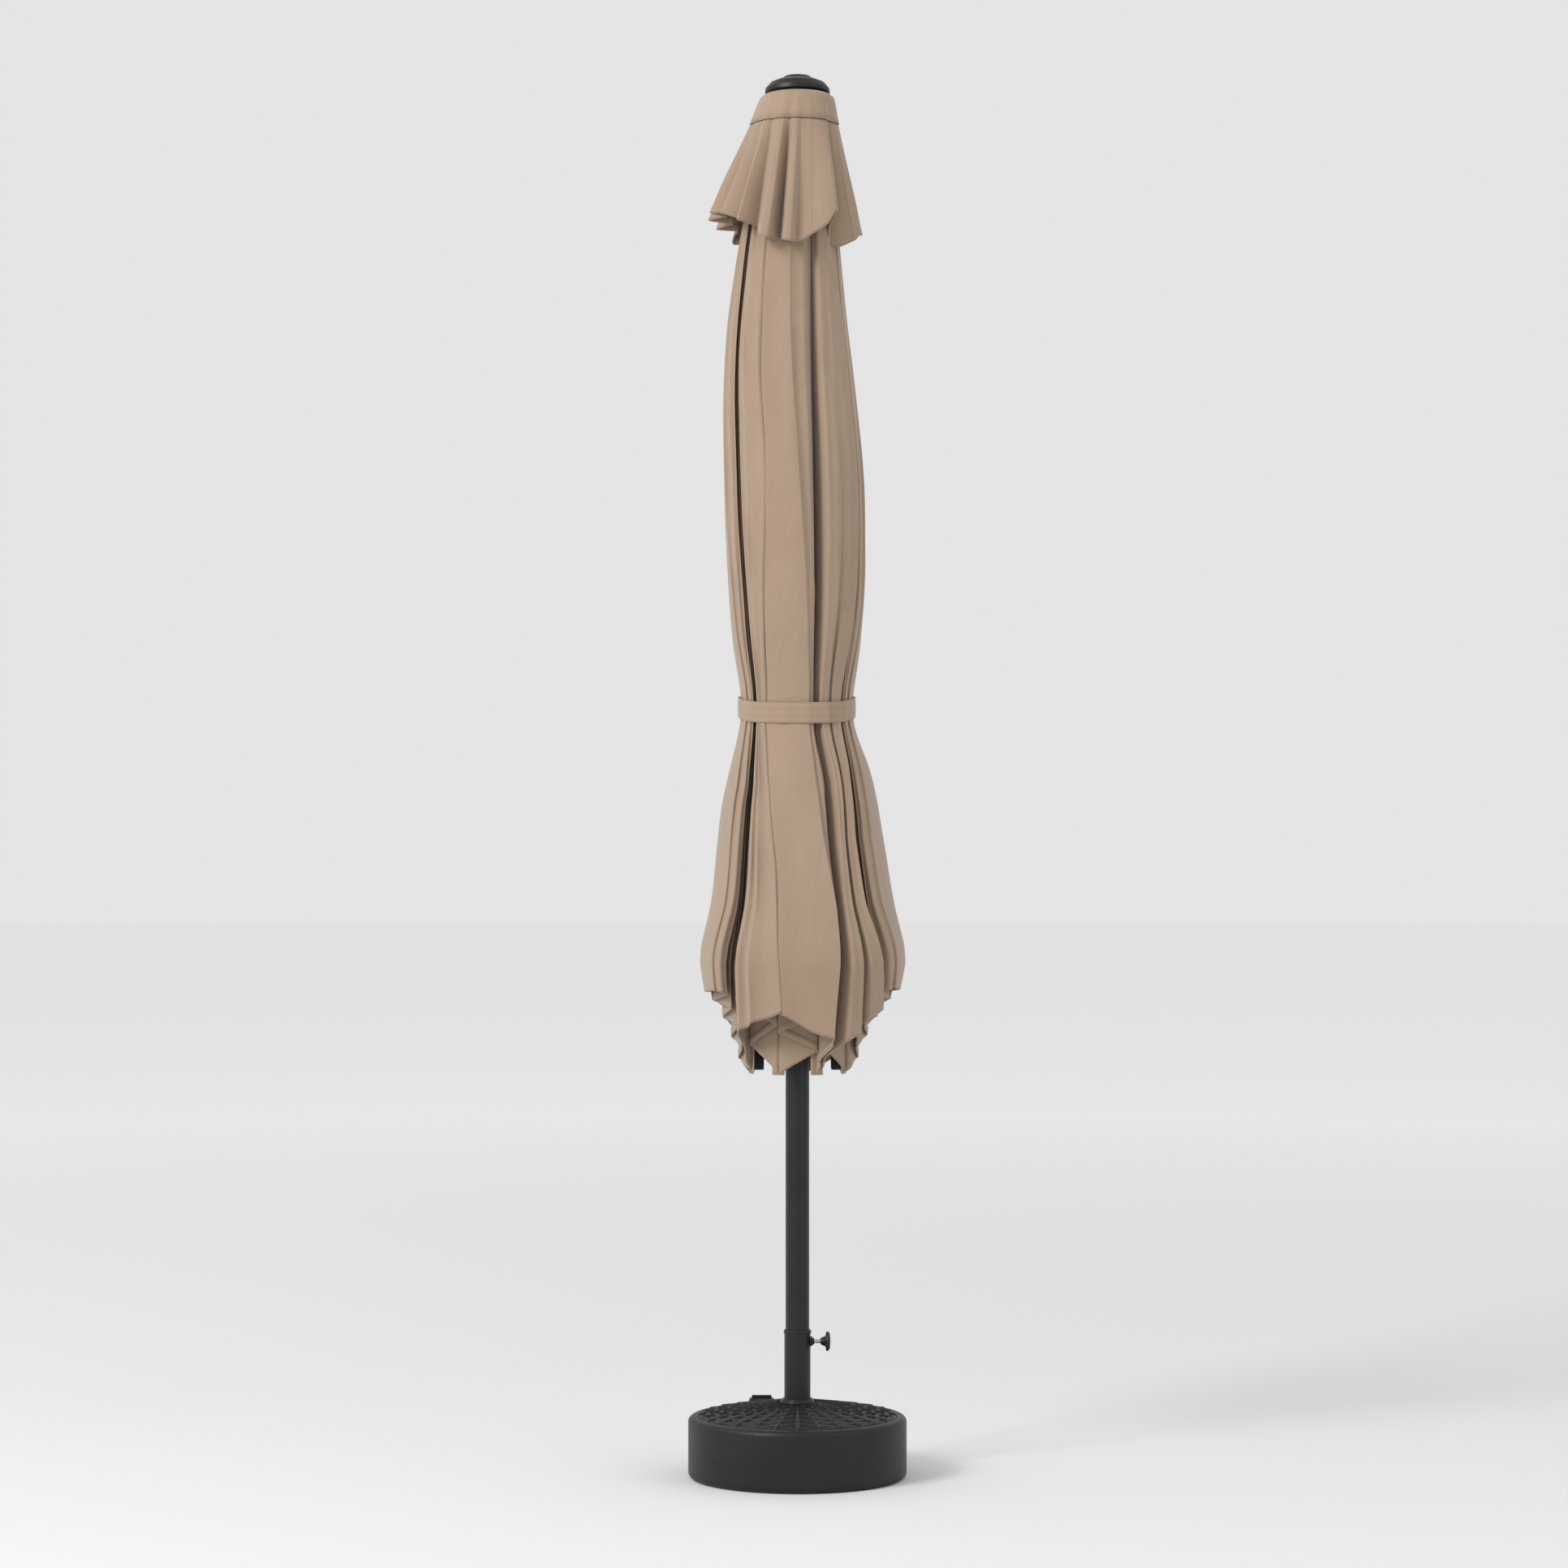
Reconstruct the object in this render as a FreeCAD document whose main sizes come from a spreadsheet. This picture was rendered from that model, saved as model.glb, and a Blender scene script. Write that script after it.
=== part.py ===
"""Patio umbrella with base: a crank-lift market umbrella, closed and tied, standing in its ballast base.

Frame: +Z up, origin on the ground at the pole's axis, millimetres. The crank is at +Y, the clamp knob at +X.
"""
import FreeCAD
import Part
import math
import os

V = FreeCAD.Vector
RIBS = 8
DIMS = {
    # the base
    "base_radius": 175, "base_height": 98, "seam_height": 40, "shell_wall": 3, "crown_height": 116,
    "tube_radius": 21, "tube_bore": 19.6, "tube_top": 230, "flange_radius": 60,
    "fill_x": -58, "fill_y": 118, "fill_bore": 16,
    "clamp_height": 217, "screw_radius": 3, "knob_radius": 16,
    # the pole
    "pole_radius": 19, "pole_bore": 17.6, "pole_foot": 10.2, "pole_joint": 880, "pole_top": 2207,
    # the folding frame: rib and strut have equal arms, so they turn by equal and opposite angles
    "pivot_radius": 30, "pivot_height": 2188, "rib_length": 1535, "arm_length": 540, "folded_angle": 1,
    "rib_offset": 12, "hub_radius": 50, "slot_width": 4.8, "wire_radius": 1.5,
    # the crank
    "crank_height": 990, "housing_radius": 34, "arm_reach": 76, "drum_radius": 12.56,
    # the cloth
    "cloth": 3, "strap_height": 1225, "strap_radius": 93.5, "strap_width": 33,
}

doc = FreeCAD.newDocument("patio_umbrella")
sheet = doc.addObject("Spreadsheet::Sheet", "Dims")
for row, (alias, value) in enumerate(DIMS.items(), start=1):
    sheet.set(f"A{row}", alias)
    sheet.set(f"B{row}", str(value))
    sheet.setAlias(f"B{row}", alias)
doc.recompute()
nodes = []


def sized(text):
    """A sheet expression: every known alias in the text is read from the sheet."""
    text = str(text)
    for alias in sorted(DIMS, key=len, reverse=True):
        text = text.replace(f"<{alias}>", f"Dims.{alias}")
    return text


def bind(item, **sizes):
    """Binds properties of a document object to sheet expressions."""
    for name, text in sizes.items():
        item.setExpression(name, sized(text))
    return item


def place(item, x=0, y=0, z=0, axis=V(0, 0, 1), angle=0):
    """Turns an object about an axis through its own origin, then binds where it stands."""
    item.Placement = FreeCAD.Placement(V(0, 0, 0), FreeCAD.Rotation(axis, angle))
    for key, text in (("x", x), ("y", y), ("z", z)):
        item.setExpression(f"Placement.Base.{key}", sized(text))
    return item


def cylinder(name, radius, height, x=0, y=0, z=0, axis=V(0, 0, 1), angle=0):
    item = doc.addObject("Part::Cylinder", name)
    return place(bind(item, Radius=radius, Height=height), x, y, z, axis, angle)


def cone(name, low, high, height, x=0, y=0, z=0, axis=V(0, 0, 1), angle=0):
    item = doc.addObject("Part::Cone", name)
    return place(bind(item, Radius1=low, Radius2=high, Height=height), x, y, z, axis, angle)


def block(name, length, width, height, x=0, y=0, z=0):
    """A box centred on y, from its own x and z."""
    item = doc.addObject("Part::Box", name)
    bind(item, Length=length, Width=width, Height=height)
    return place(item, x, f"{y} - ({width}) / 2", z)


def along_x(name, radius, length, x, y, z):
    return cylinder(name, radius, length, x, y, z, V(0, 1, 0), 90)


def along_y(name, radius, length, x, y, z):
    return cylinder(name, radius, length, x, y, z, V(1, 0, 0), -90)


def fused(name, items):
    joined = doc.addObject("Part::MultiFuse", name)
    joined.Shapes = items
    return joined


def cut(name, base, tools):
    tool = tools[0] if len(tools) == 1 else fused(name + "_tools", tools)
    made = doc.addObject("Part::Cut", name)
    made.Base = base
    made.Tool = tool
    return made


def group(name, items):
    """Separate solids that share one node."""
    made = doc.addObject("Part::Compound", name)
    made.Links = items
    return made


def turned(name, profile, angle=360, fillets=()):
    """A body revolved about Z from a closed outline of (radius, height) expressions.

    fillets holds (radius of the round, radius and height of the edge), each an expression.
    """
    body = doc.addObject("PartDesign::Body", name)
    sketch = body.newObject("Sketcher::SketchObject", name + "_outline")
    plane = next(f for f in body.Origin.OriginFeatures if f.Role == "XZ_Plane")
    sketch.AttachmentSupport = (plane, [""])
    sketch.MapMode = "FlatFace"
    doc.recompute()
    places = [(value(r), value(h)) for r, h in profile]
    count = len(places)
    for i, (r, h) in enumerate(places):
        nr, nh = places[(i + 1) % count]
        sketch.addGeometry(Part.LineSegment(V(r, h, 0), V(nr, nh, 0)), False)
    import Sketcher
    for i in range(count):
        sketch.addConstraint(Sketcher.Constraint("Coincident", i, 2, (i + 1) % count, 1))
    for i, (r, h) in enumerate(profile):
        for kind, number, text in (("DistanceX", places[i][0], r), ("DistanceY", places[i][1], h)):
            if abs(number) < 1e-9:
                axis = -2 if kind == "DistanceX" else -1
                sketch.addConstraint(Sketcher.Constraint("PointOnObject", i, 1, axis))
                continue
            where = sketch.addConstraint(Sketcher.Constraint(kind, -1, 1, i, 1, number))
            sketch.setExpression(f"Constraints[{where}]", sized(text))
    spun = body.newObject("PartDesign::Revolution", name + "_turn")
    spun.Profile = sketch
    spun.ReferenceAxis = (sketch, ["V_Axis"])
    spun.Angle = angle
    doc.recompute()
    for k, (size, radius, height) in enumerate(fillets):
        last = body.Tip
        edges = [f"Edge{n}" for n, e in enumerate(last.Shape.Edges, start=1)
                 if isinstance(e.Curve, Part.Circle) and abs(e.Curve.Radius - value(radius)) < 0.01
                 and abs(e.Curve.Center.z - value(height)) < 0.01]
        rounded = body.newObject("PartDesign::Fillet", f"{name}_round{k}")
        rounded.Base = (last, edges)
        bind(rounded, Radius=size)
        body.Tip = rounded
        doc.recompute()
    return body


def value(text):
    """The number that a sheet expression stands for."""
    text = str(text)
    for alias in sorted(DIMS, key=len, reverse=True):
        text = text.replace(f"<{alias}>", f"({DIMS[alias]})")
    total = doc.getObject("Calculator") or doc.addObject("App::FeaturePython", "Calculator")
    if not hasattr(total, "Answer"):
        total.addProperty("App::PropertyFloat", "Answer")
    total.setExpression("Answer", text)
    total.recompute()
    return total.Answer


def ring(name, inner, outer, low, high):
    return turned(name, [(inner, low), (outer, low), (outer, high), (inner, high)])


def node(item, label):
    item.Label = label
    nodes.append(item)
    return item


def spaced(count, radius, start=0):
    """Points evenly spaced on a circle."""
    return [(radius * math.cos(math.radians(start + 360 * i / count)),
             radius * math.sin(math.radians(start + 360 * i / count))) for i in range(count)]


# ---------------------------------------------------------------- base: two moulded shells full of sand
def base():
    wall = "<shell_wall>"
    node(turned("LowerShell", [
        (0, 0), ("<base_radius>", 0), ("<base_radius>", "<seam_height>"),
        (f"<base_radius> - {wall}", "<seam_height>"), (f"<base_radius> - {wall}", 12),
        (f"<base_radius> - 12 - {wall}", 4), (0, 4),
    ], fillets=[(10, "<base_radius>", 0)]), "base_lower_shell")
    top = turned("UpperShell", [
        ("<base_radius>", "<seam_height> + 0.2"), ("<base_radius>", "<base_height>"),
        ("<base_radius> - 14", "<base_height>"), ("<base_radius> - 17", "<base_height> - 2"),
        (30, "<crown_height>"), ("<tube_radius> + 0.4", "<crown_height>"),
        ("<tube_radius> + 0.4", f"<crown_height> - {wall}"), (30, f"<crown_height> - {wall}"),
        ("<base_radius> - 17", f"<base_height> - 2 - {wall}"),
        (f"<base_radius> - {wall}", f"<base_height> - {wall} - 4"),
        (f"<base_radius> - {wall}", "<seam_height> + 0.2"),
    ], fillets=[(9, "<base_radius>", "<base_height>")])
    neck = cylinder("FillNeck", "<fill_bore> + 5", 12, "<fill_x>", "<fill_y>", "<base_height> - 4")
    hole = cylinder("FillHole", "<fill_bore>", 60, "<fill_x>", "<fill_y>", "<base_height> - 30")
    node(cut("UpperShellOpen", fused("UpperShellNeck", [top, neck]), [hole]), "base_upper_shell")
    node(ring("Ballast", "<tube_radius> + 3", "<base_radius> - 12", 14, "<base_height> - 12"), "ballast_fill")

    tube = ring("Tube", "<tube_bore>", "<tube_radius>", 4.2, "<tube_top>")
    flange = ring("Flange", "<tube_bore>", "<flange_radius>", 4.2, 8.2)
    side = along_x("ClampHole", "<screw_radius> + 0.4", 40, 0, 0, "<clamp_height>")
    holes = [cylinder(f"FlangeHole{i}", 3.2, 10, x, y, 2) for i, (x, y) in enumerate(spaced(4, 48, 45))]
    node(cut("BaseTube", fused("TubeFlange", [tube, flange]), [side] + holes), "base_tube")
    screws = []
    for i, (x, y) in enumerate(spaced(4, 48, 45)):
        shank = cylinder(f"FlangeShank{i}", 3, 4, x, y, 4.2)
        head = cylinder(f"FlangeHead{i}", 5.5, 3.5, x, y, 8.2)
        screws.append(fused(f"FlangeScrew{i}", [shank, head]))
    node(group("FlangeScrews", screws), "flange_screws")
    node(turned("Collar", [
        ("<tube_radius> + 0.1", "<crown_height> + 0.1"), (28, "<crown_height> + 0.1"),
        (28, "<crown_height> + 4"), ("<tube_radius> + 3", "<crown_height> + 10"),
        ("<tube_radius> + 0.1", "<crown_height> + 10"),
    ]), "base_collar")
    node(turned("MouthRing", [
        ("<pole_radius> + 0.3", "<tube_top> + 0.1"), ("<tube_radius> + 1", "<tube_top> + 0.1"),
        ("<tube_radius> + 1", "<tube_top> + 4"), ("<tube_radius> - 0.5", "<tube_top> + 6"),
        ("<pole_radius> + 0.3", "<tube_top> + 6"),
    ]), "tube_mouth_ring")


def fill_cap():
    """A plug with a grip bar, which closes the filling hole."""
    seat = "<base_height> + 8"
    plug = cylinder("CapPlug", "<fill_bore> - 0.4", 14, "<fill_x>", "<fill_y>", f"{seat} - 13.9")
    disc = cylinder("CapDisc", "<fill_bore> + 4", 3, "<fill_x>", "<fill_y>", f"{seat} + 0.1")
    bar = block("CapBar", "2 * <fill_bore>", 5, 5, "<fill_x> - <fill_bore>", "<fill_y>", f"{seat} + 3.1")
    node(fused("FillCap", [plug, disc, bar]), "fill_cap")


def clamp():
    """The hand screw that pinches the pole: a welded cone nut, an M6 screw and a mushroom knob."""
    height = "<clamp_height>"
    boss = cone("NutCone", 9.5, 4.5, 7, 20, 0, height, V(0, 1, 0), 90)
    bore = along_x("NutBore", "<screw_radius> + 0.1", 20, 15, 0, height)
    body = cylinder("NutTube", "<tube_radius>", 40, 0, 0, f"{height} - 20")
    node(cut("ClampNut", boss, [bore, body]), "clamp_nut")
    node(along_x("ClampPad", "<screw_radius> - 0.1", 1.1, "<pole_radius> + 0.15", 0, height), "clamp_pad")
    node(along_x("ClampScrew", "<screw_radius>", 25, "<pole_radius> + 1.3", 0, height), "clamp_screw")
    knob = turned("KnobTurn", [
        (0, 7.5), (0, 16), ("<knob_radius> - 4", 15.2), ("<knob_radius>", 12), ("<knob_radius> - 1", 9),
        (8.5, 7.5), (5, 0), ("<screw_radius>", 0), ("<screw_radius>", 8.3), (0, 8.3),
    ][1:], fillets=[(1, "<knob_radius>", 12)])
    node(place(knob, 37, 0, height, V(0, 1, 0), 90), "clamp_knob")


# ---------------------------------------------------------------- mast: two tubes, the crank box and the top notch
def mast():
    lower = ring("LowerTube", "<pole_bore>", "<pole_radius>", "<pole_foot>", "<pole_joint>")
    button = along_y("ButtonHole", 4.2, 40, 0, 0, "<pole_joint> - 40")
    node(cut("LowerPole", lower, [button]), "lower_pole")
    upper = ring("UpperTube", "<pole_bore>", "<pole_radius>", "<pole_joint> + 0.2", "<pole_top>")
    back = along_y("DrumHole", "<drum_radius> + 1.5", 40, 0, 0, "<crank_height>")
    front = along_y("ShaftHole", 4.3, 40, 0, -40, "<crank_height>")
    axle = along_x("PulleyHole", 2.6, 60, -30, 0, "<pivot_height> - 38")
    node(cut("UpperPole", upper, [back, front, axle]), "upper_pole")
    sleeve = ring("Sleeve", "<pole_bore> - 1.6", "<pole_bore> - 0.1", "<pole_joint> - 80", "<pole_joint> + 70")
    through = along_y("SleeveHole", 4.2, 40, 0, 0, "<pole_joint> - 40")
    node(cut("Ferrule", sleeve, [through]), "pole_ferrule")
    node(along_y("JointPin", 4, 7.5, 0, 13, "<pole_joint> - 40"), "pole_joint_pin")
    node(turned("FootPlug", [
        (0, "<pole_foot> - 6"), ("<pole_radius>", "<pole_foot> - 6"), ("<pole_radius>", "<pole_foot> - 0.1"),
        ("<pole_bore> - 0.1", "<pole_foot> - 0.1"), ("<pole_bore> - 0.1", "<pole_foot> + 28"),
        (0, "<pole_foot> + 28"),
    ], fillets=[(2, "<pole_radius>", "<pole_foot> - 6")]), "pole_foot_plug")
    crank_box()
    top_notch()


def crank_box():
    """Two half shells screwed round the pole, the back one with the bearing of the crank."""
    mid, reach = "<crank_height>", "<housing_radius>"
    places = [(x, z) for x in (-27, 27) for z in (-42, 38)]
    screws = []
    for label, side in (("front", -1), ("back", 1)):
        shell = turned("Box" + label, [
            ("<pole_radius> + 0.15", f"{mid} - 60"), (f"{reach} - 6", f"{mid} - 60"),
            (reach, f"{mid} - 50"), (reach, f"{mid} + 46"), (f"{reach} - 6", f"{mid} + 56"),
            ("<pole_radius> + 0.15", f"{mid} + 56"),
        ])
        half = block("Half" + label, 100, 50, 140, -50, 25.1 * side, f"{mid} - 70")
        shape = doc.addObject("Part::MultiCommon", "Shell" + label)
        shape.Shapes = [shell, half]
        holes = [along_y(f"Hole{label}{i}", 2.1, 80, x, -40, f"{mid} + {z}") for i, (x, z) in enumerate(places)]
        if side > 0:
            boss = along_y("BearingBoss", 15, 26, 0, 24, mid)
            shape = fused("ShellBoss", [shape, boss])
            holes += [along_y("BearingBore", 4.2, 80, 0, 10, mid)]
            holes += [along_y(f"Sink{i}", 3.8, 20, x, 15, f"{mid} + {z}") for i, (x, z) in enumerate(places)]
        node(cut("CrankHousing" + label, shape, holes), "crank_housing_" + label)
    for i, (x, z) in enumerate(places):
        shank = along_y(f"BoxShank{i}", 2, 30, x, -15, f"{mid} + {z}")
        head = along_y(f"BoxHead{i}", 3.6, 3, x, 15, f"{mid} + {z}")
        screws.append(fused(f"BoxScrew{i}", [shank, head]))
    node(group("HousingScrews", screws), "housing_screws")


def top_notch():
    """The slotted hub that the ribs hang in, its hinge wire, the cord's pulley, and the cap on top."""
    centre = "<pivot_height>"
    hub = turned("HubTurn", [
        ("<pole_radius> + 0.1", f"{centre} - 14"), (44, f"{centre} - 14"), ("<hub_radius>", f"{centre} - 8"),
        ("<hub_radius>", f"{centre} + 16"), ("<hub_radius> - 4", f"{centre} + 20"),
        ("<pole_radius> + 0.1", f"{centre} + 20"),
    ])
    slots = []
    for i in range(RIBS):
        slot = doc.addObject("Part::Box", f"HubSlot{i}")
        bind(slot, Length="60", Width="<slot_width>", Height="31")
        turn = FreeCAD.Rotation(V(0, 0, 1), azimuth(i))
        corner = turn.multVec(V(22.5, -value("<slot_width>") / 2, 0))
        slot.Placement = FreeCAD.Placement(corner, turn)
        slot.setExpression("Placement.Base.z", sized(f"{centre} - 20"))
        slots.append(slot)
    groove = doc.addObject("Part::Torus", "WireGroove")
    place(bind(groove, Radius1="<pivot_radius>", Radius2="<wire_radius> + 0.15"), z=centre)
    node(cut("TopHub", hub, slots + [groove]), "top_hub")
    wire = doc.addObject("Part::Torus", "HingeWire")
    node(place(bind(wire, Radius1="<pivot_radius>", Radius2="<wire_radius>"), z=centre), "hinge_wire")
    wheel = turned("Sheave", [(2.7, -4), (13, -4), (10, -1), (10, 1), (13, 4), (2.7, 4)])
    node(place(wheel, 0, 0, f"{centre} - 38", V(0, 1, 0), 90), "cord_pulley")
    node(along_x("PulleyPin", 2.5, "2 * <pole_radius> + 3", "-<pole_radius> - 1.5", 0, f"{centre} - 38"),
         "pulley_pin")
    node(turned("Cap", [
        (0, 2188), ("<pole_bore> - 0.2", 2188), ("<pole_bore> - 0.2", 2208.2), (21.5, 2208.2),
        (21.5, 2214.5), (46, 2214.5), (52, 2217), (51.5, 2223), (44, 2232), (30, 2238), (0, 2240),
    ], fillets=[(3, 44, 2232), (6, 30, 2238)]), "finial_cap")
    node(turned("CapButton", [(0, 2240.1), (24, 2240.1), (21, 2243), (0, 2245)], fillets=[(2, 21, 2243)]),
         "finial_button")
    node(turned("VentCloth", [
        (22, 2212), (54, 2212), (59, 2203), (114, 1990), (117, 1990), (62, 2204), (55, 2213.6), (22, 2213.6),
    ]), "vent_flap")


# ---------------------------------------------------------------- crank: drum, shaft, arm and turning grip
def crank():
    mid = "<crank_height>"
    drum = along_y("Drum", "<drum_radius>", 20, 0, -10, mid)
    flanges = [along_y(f"DrumEnd{i}", "<drum_radius> + 1", 2, 0, y, mid) for i, y in enumerate((-11, 9))]
    shaft = along_y("Shaft", 4, 69.6, 0, -18.6, mid)
    node(fused("CrankSpool", [drum, shaft] + flanges), "crank_spool")
    eye = along_y("ArmEye", 11, 8, 0, 51, mid)
    end = along_y("ArmEnd", 9, 8, 0, 51, f"{mid} - <arm_reach>")
    bar = block("ArmBar", 14, 8, "<arm_reach>", -7, 55, f"{mid} - <arm_reach>")
    pin = along_y("GripPin", 3, 37, 0, 58, f"{mid} - <arm_reach>")
    stop = along_y("GripStop", 5, 2, 0, 93.4, f"{mid} - <arm_reach>")
    node(fused("CrankArm", [eye, end, bar, pin, stop]), "crank_arm")
    grip = turned("GripTurn", [(3.2, 0), (8, 0), (10.5, 8), (8.5, 20), (10, 32), (3.2, 32)],
                  fillets=[(2, 10, 32)])
    node(place(grip, 0, 60, f"{mid} - <arm_reach>", V(1, 0, 0), -90), "crank_grip")


# ---------------------------------------------------------------- folding frame: runner, ribs and struts
def azimuth(i):
    return 22.5 + 360 / RIBS * i


def swung(item, i, radius, height, lean):
    """Hangs a part from a pivot in the vertical plane of rib i, leaning out by an angle."""
    turn = FreeCAD.Rotation(V(0, 0, 1), azimuth(i)).multiply(FreeCAD.Rotation(V(0, 1, 0), -lean))
    side = FreeCAD.Rotation(V(0, 0, 1), azimuth(i)).multVec(V(radius, 0, 0))
    item.Placement = FreeCAD.Placement(V(side.x, side.y, height), turn)
    return item


def rib(i):
    """A steel channel with its hinge lug, its strut clevis and its plastic tip. The pivot is at the origin."""
    off, arm, long = "<rib_offset>", "<arm_length>", "<rib_length>"
    outer = block(f"RibOuter{i}", 14, 10, f"{long} - 46", f"{off} - 7", 0, f"-{long} + 20")
    inner = block(f"RibInner{i}", 12.6, 8.6, f"{long} - 42", f"{off} - 6.3", 0, f"-{long} + 18")
    tube = cut(f"RibTube{i}", outer, [inner])
    lug_outline = [(-5, 2), (-5, -6), (6, -34), (18, -34), (18, -22), (5, 3), (-5, 2)]
    lug = doc.addObject("Part::Feature", f"RibLugPlate{i}")
    face = Part.Face(Part.makePolygon([V(x, -1.7, z) for x, z in lug_outline]))
    lug.Shape = face.extrude(V(0, 3.4, 0))
    eye = along_y(f"RibEye{i}", 5.5, 3.4, 0, -1.7, 0)
    cheeks = []
    for k, y in enumerate((-3.7, 2.1)):
        cheeks.append(along_y(f"Cheek{k}{i}", 6, 1.6, 0, y, f"-{arm}"))
        cheeks.append(block(f"CheekWeb{k}{i}", 5.5, 1.6, 12, 0, y + 0.8, f"-{arm} - 6"))
    pin = along_y(f"StrutPin{i}", 2, 7.4, 0, -3.7, f"-{arm}")
    steel = fused(f"RibSteel{i}", [tube, lug, eye, pin] + cheeks)
    bored = cut(f"RibBored{i}", steel, [along_y(f"RibBore{i}", "<wire_radius> + 0.3", 6, 0, -3, 0)])
    tip = block(f"RibTip{i}", 16, 12, 20, f"{off} - 8", 0, f"-{long}")
    both = group(f"Rib{i}", [bored, tip])
    swung(both, i, DIMS["pivot_radius"], DIMS["pivot_height"], DIMS["folded_angle"])
    node(both, f"rib_{i + 1}")


def strut(i):
    """A steel bar with flat eyes: the upper eye turns on the rib's pin, the lower one sits in the runner."""
    arm = "<arm_length>"
    bar = block(f"StrutBar{i}", 8, 8, f"{arm} - 110", -4, 0, f"-{arm} + 80")
    channel = block(f"StrutChannel{i}", 8, 6.4, f"{arm} - 160", -2.8, 0, f"-{arm} + 104")
    lengths = {-56: 56, f"-{arm}": 104}
    blades = [block(f"StrutBlade{k}{i}", 8, 3.4, long, -4, 0, z) for k, (z, long) in enumerate(lengths.items())]
    eyes = [along_y(f"StrutEye{k}{i}", 4.4, 3.4, 0, -1.7, z) for k, z in enumerate((0, f"-{arm}"))]
    foot = along_y(f"StrutFootPin{i}", 2.5, 4.2, 0, -2.1, f"-{arm}")
    whole = fused(f"StrutSteel{i}", [cut(f"StrutRail{i}", bar, [channel]), foot] + blades + eyes)
    made = cut(f"Strut{i}", whole, [along_y(f"StrutBore{i}", 2.15, 8, 0, -4, 0)])
    lean, arm_mm = math.radians(DIMS["folded_angle"]), DIMS["arm_length"]
    swung(made, i, DIMS["pivot_radius"] + arm_mm * math.sin(lean),
          DIMS["pivot_height"] - arm_mm * math.cos(lean), -DIMS["folded_angle"])
    node(made, f"strut_{i + 1}")


def runner():
    """The sleeve that rides up the pole, with a slotted crown for the struts."""
    centre = DIMS["pivot_height"] - 2 * DIMS["arm_length"] * math.cos(math.radians(DIMS["folded_angle"]))
    shape = turned("RunnerTurn", [
        ("<pole_radius> + 0.4", centre - 50), (24, centre - 50), (23, centre - 44), (23, centre - 10),
        (34, centre - 9), (38, centre - 6), (38, centre + 9), (23, centre + 11), ("<pole_radius> + 0.4", centre + 11),
    ])
    slots = []
    for i in range(RIBS):
        slot = doc.addObject("Part::Box", f"RunnerSlot{i}")
        bind(slot, Length="30", Width="<slot_width>", Height="40")
        turn = FreeCAD.Rotation(V(0, 0, 1), azimuth(i))
        corner = turn.multVec(V(23.4, -value("<slot_width>") / 2, 0))
        slot.Placement = FreeCAD.Placement(corner + V(0, 0, centre - 20), turn)
        slots.append(slot)
    node(cut("Runner", shape, slots), "runner")


# ---------------------------------------------------------------- cloth: the gathered bundle and its tie
BUNDLE = [  # outer radius and height of the tied bundle, from the notch down to the hem
    (57, 2196), (81, 1978), (96, 1846), (108, 1716), (114, 1586), (113, 1456), (104, 1326), (91, 1240),
    (91, 1210), (114, 1131), (130, 1066), (140, 1001), (148, 936), (162, 871), (174, 819), (172, 786), (132, 662),
]


def gore(i):
    outer = [("<hub_radius> + 4", 2211)] + BUNDLE
    inner = [(r - 3, h - 0.5) for r, h in reversed(BUNDLE)]
    outline = [(22, 2211)] + outer + inner + [("<hub_radius> + 1.5", 2209.2), (22, 2209.2)]
    body = turned(f"Gore{i}", outline, angle=360 / RIBS - 0.4)
    body.Placement = FreeCAD.Placement(V(0, 0, 0), FreeCAD.Rotation(V(0, 0, 1), azimuth(i) + 0.2))
    node(body, f"canopy_gore_{i + 1}")


def tie_strap():
    node(ring("Strap", "<strap_radius>", "<strap_radius> + 2", "<strap_height> - <strap_width> / 2",
              "<strap_height> + <strap_width> / 2"), "tie_strap")


base()
fill_cap()
clamp()
mast()
crank()
runner()
for number in range(RIBS):
    rib(number)
    strut(number)
    gore(number)
tie_strap()
doc.recompute()

broken = [o.Name for o in doc.Objects if {"Invalid", "Error"} & set(o.State)]
broken += [o.Label for o in nodes if o.Shape.isNull() or not o.Shape.isValid()]
if broken:
    raise RuntimeError(f"these objects failed: {broken}")
os.makedirs("parts", exist_ok=True)
for item in nodes:
    item.Shape.exportStep(f"parts/{item.Label}.step")
    box = item.Shape.BoundBox
    print(f"{item.Label:22s} solids {len(item.Shape.Solids)}  volume {item.Shape.Volume / 1000:9.1f} cm3  "
          f"x {box.XMin:.0f}..{box.XMax:.0f}  y {box.YMin:.0f}..{box.YMax:.0f}  z {box.ZMin:.0f}..{box.ZMax:.0f}")
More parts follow.
